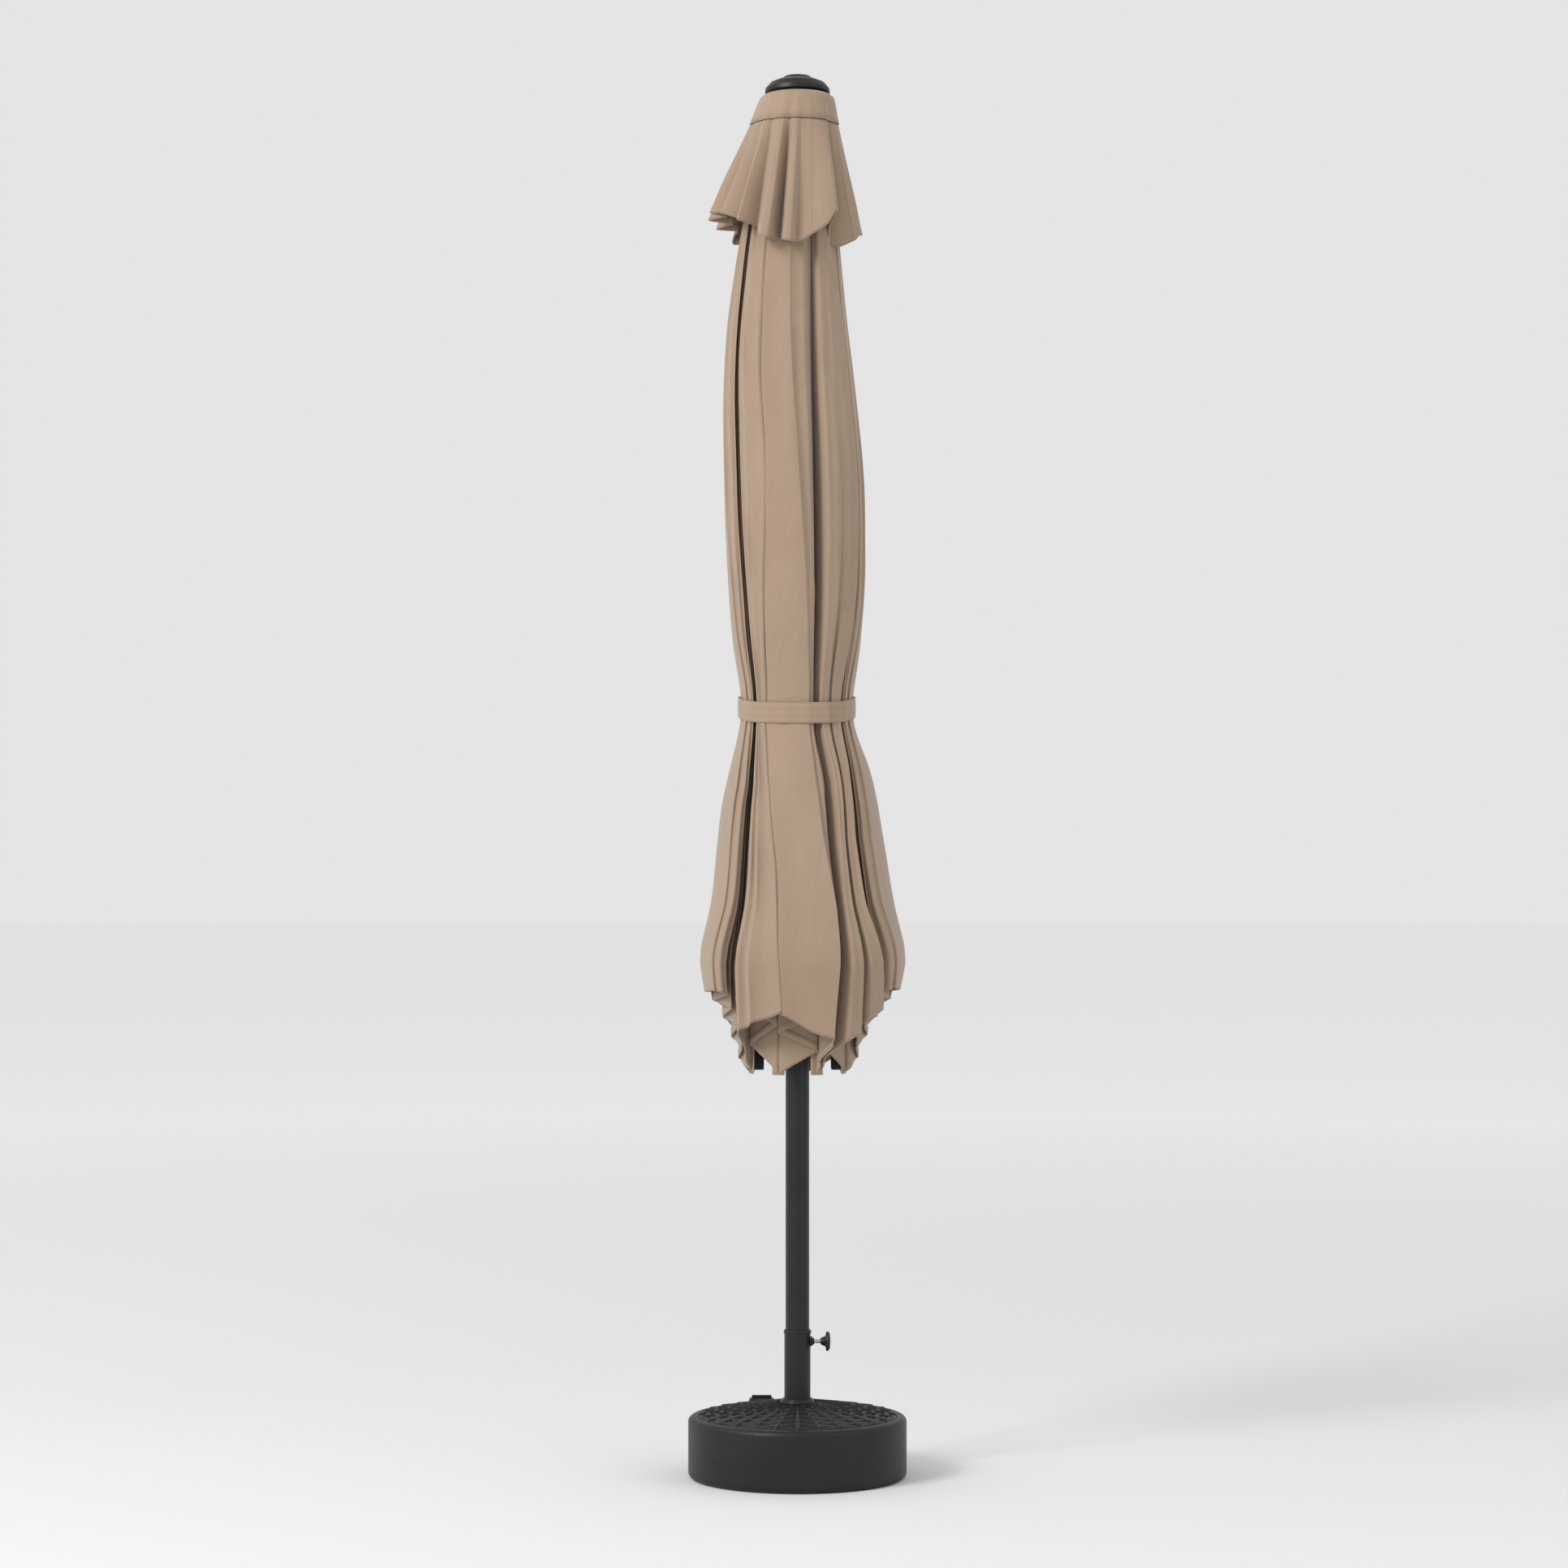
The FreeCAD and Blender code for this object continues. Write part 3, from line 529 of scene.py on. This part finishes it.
edge_drift = {  # how far the opening between two gores wanders from its rib, in degrees, at each height
    4: ((0.60, 15), (0.72, 19), (0.91, 28), (1.10, 30), (1.20, 23), (1.30, 20), (1.45, 16), (1.59, 13),
        (1.95, 5), (2.2, 0)),
    5: ((0.60, 12), (0.74, 11), (0.955, 6), (1.08, 0), (1.20, -11),
        (1.30, -9), (1.59, -1), (1.95, -5), (2.2, 0)),
    6: ((0.60, 0), (0.99, 1), (1.10, 3), (1.20, -3), (1.30, -4), (1.59, -1), (1.95, 6), (2.2, 0)),
    7: ((0.60, -5), (0.72, -9), (0.80, -18), (0.905, -27), (1.01, -29), (1.10, -26), (1.20, -20), (1.40, -8),
        (1.60, -2), (2.2, 0)),
    1: ((0.60, 6), (1.0, 8), (1.59, 2), (2.2, 0)),
    2: ((0.60, -8), (1.0, -4), (1.59, 3), (2.2, 0)),
}


def flap_at(flap, height):
    """The flap's places and depths at each height, as an array of heights by points by two."""
    levels = np.array(sorted(flap))
    table = np.array([flap[level] for level in levels], float)
    out = np.empty((len(height), table.shape[1], 2))
    for k in range(table.shape[1]):
        for c in range(2):
            out[:, k, c] = np.interp(height, levels, table[:, k, c])
    return out


def hem_reach(u):
    """Where the hem is, as a distance down the rib: highest in the middle of the gore."""
    return 1.541 - 0.118 * (1 - u * u)


def half_width(reach):
    """Half the cloth's width at a distance down the rib, as it spans the open canopy."""
    return math.sin(math.radians(22.5)) * (rib_start + rib_side * math.cos(opened) + reach * math.sin(opened))


def fold_gore(number, wrap, flap, seed, split):
    """The gore gathered into its sector: zigzag folds inside, a broad flap outside, a dive to the far rib.

    With the split in mid-sector, half the folds lie past the flap, which then shows the gore's short middle.
    Returns columns of points at equal distances down the rib, and each column's place across the cloth.
    """
    reach = np.linspace(0.03, 1.545, 190)
    height = notch_height - reach
    near, far = azimuth(number), azimuth(number) + math.radians(45)
    still = ((0, 0), (3, 0))
    wanders = [edge_drift.get((number + k) % 8, still) for k in (0, 1)]
    drift = [np.radians(np.interp(height, *zip(*wander))) for wander in wanders]
    radius, lean = smooth_profile(height, 2), smooth_profile(height, 1)
    inner = rib_start + reach * math.sin(folded) + rib_side
    inner = np.minimum(inner, radius - 0.004)
    outer = flap_at(flap, height)
    if wrap < 0:
        near, far = far, near
        drift = drift[::-1]
    corners = [(np.full_like(reach, -1.0), inner)]
    room = radius - inner
    left = -0.95 + 0 * reach
    right = np.minimum(outer[:, -2, 0] - 0.03, split)
    tucked = passes - 1 if split < 0.7 else 0
    sector = 0.785 * (inner + radius) / 2
    spare = np.clip((2 * half_width(reach) - room - sector) / (passes - 1 + tucked), 0.004, None)
    fold = np.minimum(spare / sector * 2, right - left)
    middle = (left + right) / 2
    for k in range(passes - 1):
        depth = inner + room * (0.12 + 0.80 * k / (passes - 1)) - 0.001
        wobble = 0.05 * ripple(height, seed * 100 + k, 1.0)
        start, end = middle - fold / 2, middle + fold / 2
        if k % 2:
            start, end = end, start
        if k == 0:
            start = left
        if k == passes - 2:
            end = outer[:, 0, 0] + 0.02
        corners.append((start + wobble, depth))
        corners.append((end + wobble, depth + room * 0.02))
    for k in range(outer.shape[1]):
        sink = outer[:, k, 1] / 1000 + ripple(height, seed * 50 + k, 0.0008)
        sink = np.minimum(sink, room * (0.16 if tucked else 0.75))
        corners.append((outer[:, k, 0] + 0.008 * ripple(height, seed * 70 + k, 1.0), radius - sink))
        if k in (1, 4):
            corners.append((outer[:, k, 0] + 0.025, radius - sink))
    for k in range(tucked):
        depth = inner + room * (0.80 - 0.68 * k / tucked)
        wobble = 0.03 * ripple(height, seed * 130 + k, 1.0)
        ends = ((split + 0.97) / 2 + fold / 2, (split + 0.97) / 2 - fold / 2)
        corners.append((np.minimum(ends[k % 2], 0.95) + wobble, depth))
        corners.append((np.maximum(ends[1 - k % 2], split + 0.03) + wobble, depth - room * 0.02))
    if not tucked:
        corners.append((0.93 + 0 * reach, inner + room * 0.30))
    corners.append((0.97 + 0 * reach, inner + 0.004))
    corners.append((1.0 + 0 * reach, inner))
    across = np.stack([c[0] for c in corners], axis=1)
    away = np.stack([c[1] for c in corners], axis=1)
    share = (across + 1) / 2
    shift = np.clip((away - inner[:, None]) / (room[:, None] + 1e-6), 0, 1)
    turned = drift[0][:, None] * (1 - share) + drift[1][:, None] * share
    angle = near + (far - near) * share + shift * turned
    flat = np.stack([away * np.cos(angle) + shift * lean[:, None], away * np.sin(angle)], axis=-1)
    flat = chaikin(flat, 2)
    step = np.gradient(flat, reach, axis=0)
    fall = np.sqrt(np.clip(1 - (step ** 2).sum(axis=-1), 0.3, 1))
    drop = np.cumsum(fall, axis=0) * (reach[1] - reach[0])
    tall = height[0] - (drop - drop[0])
    points = np.concatenate([flat, tall[..., None]], axis=-1)
    length = np.linalg.norm(np.diff(flat[60:150], axis=1), axis=-1).mean(axis=0)
    place = np.concatenate([[0], np.cumsum(length)])
    place = place / place[-1] * 2 - 1
    if wrap < 0:
        points, place = points[:, ::-1], -place[::-1]
    return reach, points, place


def cut_gore(reach, points, place, rows=150):
    """Trims the folded cloth to its hem: the grid, with each point's distance from hem and seam."""
    hem = hem_reach(place)
    body = np.linspace(0, 1, rows) ** 0.98
    down = reach[0] + body[:, None] * (hem - 0.016 - reach[0])[None, :]
    band = np.stack([hem - gap for gap in (0.0125, 0.0115, 0.006, 0.0)])
    down = np.concatenate([down, band])
    out = np.empty((*down.shape, 3))
    for c in range(points.shape[1]):
        for k in range(3):
            out[:, c, k] = np.interp(down[:, c], reach, points[:, c, k])
    return out, down, hem[None, :] - down


def cloth_mesh(name, points, across, from_hem, thick=0.0021, thin=0.36):
    """A sheet with its cloth map in metres, and a hem group that makes the hem's wall double when it is
    thickened.
    """
    mesh = grid_mesh(name, points)
    made = piece(name, mesh, cloth)
    chart = mesh.uv_layers.new(name="Cloth")
    corner = np.array([loop.vertex_index for loop in mesh.loops])
    flat = np.stack([across.reshape(-1)[corner], from_hem.reshape(-1)[corner]], axis=-1)
    chart.data.foreach_set("uv", flat.reshape(-1).astype(np.float32))
    hemmed = made.vertex_groups.new(name="hem")
    where = np.flatnonzero(from_hem.reshape(-1) < 0.012)
    hemmed.add(where.tolist(), 1.0, "REPLACE")
    others = np.flatnonzero(from_hem.reshape(-1) >= 0.012)
    hemmed.add(others.tolist(), thin, "REPLACE")
    return made


def thicken(made, thick=0.0021):
    """Gives the sheet its wall for good, hem thicker than the rest."""
    wall = made.modifiers.new("wall", "SOLIDIFY")
    wall.thickness = thick
    wall.offset = -0.6
    wall.vertex_group = "hem"
    wall.use_even_offset = False
    bpy.context.view_layer.update()
    solid = bpy.data.meshes.new_from_object(made.evaluated_get(bpy.context.evaluated_depsgraph_get()))
    made.modifiers.clear()
    made.data = solid
    return made


def sew(name, points, down, across, from_hem):
    """Finishes one piece of cloth: its wall, with its place baked into the mesh."""
    made = cloth_mesh(name, points, across, from_hem)
    wanted = made.data.attributes.new("wanted", "FLOAT", "POINT")
    wanted.data.foreach_set("value", across.reshape(-1).astype(np.float32))
    thicken(made)
    values = np.zeros(len(made.data.vertices), np.float32)
    made.data.attributes["wanted"].data.foreach_get("value", values)
    spread(made)
    made.data.attributes.remove(made.data.attributes["wanted"])
    return made


wraps = (1, -1, 1, 1, -1, 1, -1, -1)
mid, end = -0.05, 1
splits = (mid, mid, mid, mid, end, end, end, mid)
flaps = (plain_flap, broad_flap, plain_flap, broad_flap, plain_flap, front_flap, pleated_flap, broad_flap)
gores = []
for number in range(8):
    reach, points, place = fold_gore(number, wraps[number], flaps[number], 11 + number, splits[number])
    points, down, from_hem = cut_gore(reach, points, place)
    across = half_width(down) * place[None, :]
    gore = sew(f"canopy_gore_{number + 1}_cloth", points, down, across, from_hem)
    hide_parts(f"canopy_gore_{number + 1}")
    gores.append(gore)


# ---------------------------------------------------------------- rib seams
# A doubled tape of the same cloth is felled over the seam on each rib, with a sewn pocket that the rib's
# plastic tip pushes into. It lies deep between the flaps when the canopy is tied.
for number in range(8):
    side = np.array([-math.sin(azimuth(number)), math.cos(azimuth(number)), 0])
    outward = np.array([math.cos(azimuth(number)), math.sin(azimuth(number)), 0])
    reach = np.concatenate([np.linspace(0.034, 1.47, 60), [1.480, 1.490, 1.532, 1.541]])
    half = np.where(reach < 1.485, 0.0075, 0.0105)
    crown = np.array([0.0, 0.0009, 0.0012, 0.0009, 0.0])
    tape = np.empty((len(reach), 5, 3))
    for k, across in enumerate((-1, -0.8, 0, 0.8, 1)):
        away = rib_start + reach * math.sin(folded) + rib_side + 0.0008 + crown[k] + 0.0012 * (reach > 1.485)
        away = np.minimum(away, smooth_profile(notch_height - reach, 2) - 0.003)
        spot = outward[None, :] * away[:, None] + side[None, :] * (across * half)[:, None]
        spot[:, 2] = notch_height - reach * math.cos(folded)
        tape[:, k] = spot
    seam_across = np.tile([-.0075, -.006, 0, .006, .0075], (len(reach), 1))
    seam = cloth_mesh(f"rib_seam_{number + 1}", tape, seam_across,
                      np.tile(1.541 - reach[:, None], (1, 5)) + 0.02)
    thicken(seam, 0.0012)
    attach(seam, f"rib_{number + 1}")


# ---------------------------------------------------------------- vent flap and crown
# The top tier is a second small canopy over the wind vent, sewn to the same crown patch and clamped under the
# cap. Its free hem is rolled and hangs in loose flutes while the umbrella is shut.
vent_hem = np.array([  # azimuth in degrees, radius of the hem and its height, in millimetres
    (-12, 124, 1990), (0, 98, 1996), (12, 126, 1994), (26, 122, 1998), (36, 90, 2002),
    (45, 122, 1996), (54, 92, 1994), (64, 124, 1986), (80, 124, 1984), (95, 94, 1996),
    (110, 122, 1982), (122, 96, 1988), (133, 124, 1990), (148, 98, 2004), (159, 123, 2006),
    (168, 94, 2010), (177, 124, 2014), (185, 100, 2017), (192, 126, 2020), (201, 104, 2018),
    (211, 121, 2014), (222, 104, 2004), (229, 118, 1998), (238, 92, 1990), (250, 119, 1968),
    (256, 116, 1966), (260, 96, 1968), (264, 83, 1968), (267, 104, 1966), (269, 118, 1961),
    (274, 119, 1960), (279, 106, 1962), (285, 108, 1964), (296, 114, 1978), (304, 121, 1990),
    (311, 123, 2012), (317, 115, 2016), (321, 98, 1990), (326, 92, 1966), (331, 104, 1962),
    (339, 118, 1974), (348, 124, 1990), (360, 98, 1996),
])
crown_edge, vent_neck, mean_hem, vent_columns = 2.163, 0.0708, 0.1175, 65


def flute_at(angle):
    """How far the hem bulges or sinks at an azimuth, beside its mean circle."""
    radius = np.interp(np.degrees(angle) % 360, vent_hem[:, 0], vent_hem[:, 1]) / 1000 - mean_hem
    return np.where(radius < 0, 1.35, 1.0) * radius


def vent_surface(angle, part):
    """A point of the vent flap: part runs from 0 at the crown's edge to 1 at the hem."""
    degrees = np.degrees(angle) % 360
    hem = np.interp(degrees, vent_hem[:, 0], vent_hem[:, 2]) / 1000
    even = vent_neck + (mean_hem - vent_neck) * part
    away = even + flute_at(angle) * (0.13 + 0.87 * part ** 0.8) + 0.0016 * part * np.sin(9 * angle + 5 * part)
    height = crown_edge + (hem - crown_edge) * part
    lean = -0.005 - 0.014 * part
    return np.stack([away * np.cos(angle) + lean, away * np.sin(angle), height], axis=-1)


for number in range(8):
    angle = np.linspace(azimuth(number), azimuth(number) + math.radians(45), vent_columns)
    part = np.concatenate([np.linspace(0, 0.93, 40), [0.938, 0.945, 0.97, 1.0]])
    part_grid, angle_grid = np.meshgrid(part, angle, indexing="ij")
    points = vent_surface(angle_grid, part_grid)
    rounded = points.copy()
    rounded[:, 1:-1] = 0.25 * points[:, :-2] + 0.5 * points[:, 1:-1] + 0.25 * points[:, 2:]
    drop = (1 - part_grid) * 0.19
    across = (angle_grid - angle_grid.mean()) * 0.13
    vent = cloth_mesh(f"vent_flap_{number + 1}", rounded, across, drop)
    follow = vent.data.attributes.new("follow", "FLOAT", "POINT")
    evenly = np.tile(np.linspace(0, 1, vent_columns), (len(part), 1))
    follow.data.foreach_set("value", evenly.reshape(-1).astype(np.float32))
    thicken(vent)
    weights = np.zeros(len(vent.data.vertices), np.float32)
    vent.data.attributes["follow"].data.foreach_get("value", weights)
    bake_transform(vent)
    vent.data.attributes.remove(vent.data.attributes["follow"])
    if number == 0:
        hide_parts("vent_flap")

angle = np.linspace(0, 2 * math.pi, 96, endpoint=False)
crown_line = ((0.0235, 2.2128), (0.044, 2.2130), (0.053, 2.2118), (0.0590, 2.2075), (0.0618, 2.2010),
              (0.0645, 2.1920), (0.0680, 2.1780), (0.0722, crown_edge + 0.001))
crown_grid = np.empty((len(crown_line), 96, 3))
for k, (away, height) in enumerate(crown_line):
    lean = -0.005 * np.clip((2.21 - height) / 0.047, 0, 1)
    sag = flute_at(angle) * 0.13 * max(0, k - 3) / 4
    crown_grid[k] = np.stack([(away + sag) * np.cos(angle) + lean, (away + sag) * np.sin(angle),
                              np.full(96, height)], axis=-1)
crown_mesh = grid_mesh("crown_patch", crown_grid, closed_u=True)
crown = piece("crown_patch", crown_mesh, cloth)
chart = crown_mesh.uv_layers.new(name="Cloth")
spots = np.array([crown_mesh.vertices[loop.vertex_index].co for loop in crown_mesh.loops])
flat = np.stack([np.arctan2(spots[:, 1], spots[:, 0]) * 0.06, 0.1 + spots[:, 2]], axis=-1)
chart.data.foreach_set("uv", flat.reshape(-1).astype(np.float32))
crown.vertex_groups.new(name="hem").add(list(range(len(crown_mesh.vertices))), 0.5, "REPLACE")
thicken(crown, 0.0018)
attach(crown, "mast")
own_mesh(crown)


# ---------------------------------------------------------------- tie strap
# A double strap of the canopy's cloth, edge-stitched, sewn to a rear rib seam and closed at the front right
# with hook and loop, so its free end lies over the other end.
strap_half, strap_start, strap_turns = 0.0165, math.radians(292), math.radians(371)
run = np.linspace(0, 1, 220)
strap_angle = strap_start + math.radians(11) - strap_turns * run
strap_gap = 0.0022
layer = strap_gap * np.clip((0.10 - run) / 0.04, 0, 1)
front = np.clip(np.cos(strap_angle - math.radians(270)), 0, 1)
middle_height = 1.2335 - 0.0155 * front ** 1.2 + 0.0015 * np.sin(3 * strap_angle)
strap_radius = smooth_profile(middle_height, 2) + strap_gap + layer + 0.0005 * np.sin(17 * strap_angle)
strap_lean = smooth_profile(middle_height, 1)
strap_grid = np.empty((7, len(run), 3))
for k, across in enumerate((-1, -0.94, -0.6, 0, 0.6, 0.94, 1)):
    away = strap_radius + 0.0006 * (1 - abs(across)) - 0.0004 * (abs(across) == 1)
    strap_grid[6 - k] = np.stack([away * np.cos(strap_angle) + strap_lean, away * np.sin(strap_angle),
                                  middle_height + across * strap_half], axis=-1)
strap = cloth_mesh("tie_strap_cloth", strap_grid[::-1], np.tile(run * 0.6, (7, 1)),
                   np.tile((0.0012, 0.0022, 0.006, 0.0165, 0.006, 0.0022, 0.0012), (len(run), 1)).T)
thicken(strap, 0.0016)
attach(strap, "rib_3")
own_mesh(strap)
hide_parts("tie_strap")


# ---------------------------------------------------------------- stage, light and camera
# A flat pale floor, painted darker near the umbrella and paler far off, a broad soft key from the upper left
# and a weaker fill.
def backdrop():
    ring = np.linspace(0, 2 * math.pi, 96, endpoint=False)
    points = np.array([[(away * math.cos(a), away * math.sin(a), 0) for a in ring]
                       for away in (0.001, 0.5, 1.5, 3, 6, 12, 30, 90)])
    made, nodes, links, shader = nodes_of("studio_paper")
    place = nodes.new("ShaderNodeTexCoord")
    far = put(nodes, "ShaderNodeVectorMath", operation="LENGTH")
    links.new(place.outputs["Object"], far.inputs[0])
    # painted shade: the floor is coloured darker within 1.5 m of the umbrella and paler out to 9 m, where it
    # fades into the bright background
    tone = between(nodes, links, far.outputs["Value"], 0.0, 1.0, 1.5, 9.0)
    colour = mixed(nodes, links, (0.76, 0.76, 0.76), (0.97, 0.97, 0.97), tone.outputs[0])
    links.new(colour, shader.inputs["Base Color"])
    shader.inputs["Roughness"].default_value = 1.0
    shader.inputs["Specular IOR Level"].default_value = 0.0
    return piece("studio_paper", grid_mesh("studio_paper", points[::-1], closed_u=True), made)


paper = backdrop()


def softbox(name, place, target, size, power):
    lamp = bpy.data.lights.new(name, "AREA")
    lamp.shape = "RECTANGLE"
    lamp.size, lamp.size_y = size
    lamp.energy = power
    made = bpy.data.objects.new(name, lamp)
    bpy.context.scene.collection.objects.link(made)
    made.location = place
    made.rotation_euler = (Vector(target) - Vector(place)).to_track_quat("-Z", "Y").to_euler()
    return made


softbox("key", (-4.6, -4.4, 4.6), (0, 0, 1.2), (2.4, 2.4), 320)
softbox("fill", (3.4, -2.6, 2.0), (0, 0, 1.1), (1.6, 2.6), 20)
world = bpy.data.worlds.new("studio")
world.use_nodes = True
world.node_tree.nodes["Background"].inputs["Color"].default_value = (1, 1, 1, 1)
world.node_tree.nodes["Background"].inputs["Strength"].default_value = 0.78
bpy.context.scene.world = world
bpy.context.scene.view_settings.view_transform = "Standard"

lens = bpy.data.cameras.new("view")
lens.sensor_width = 36
lens.lens = 83.1
lens.shift_y = 0.066
camera = bpy.data.objects.new("view", lens)
bpy.context.scene.collection.objects.link(camera)
camera.location = (-0.0215, -5.8, 0.944)
camera.rotation_euler = (math.pi / 2, 0, 0)
bpy.context.scene.camera = camera
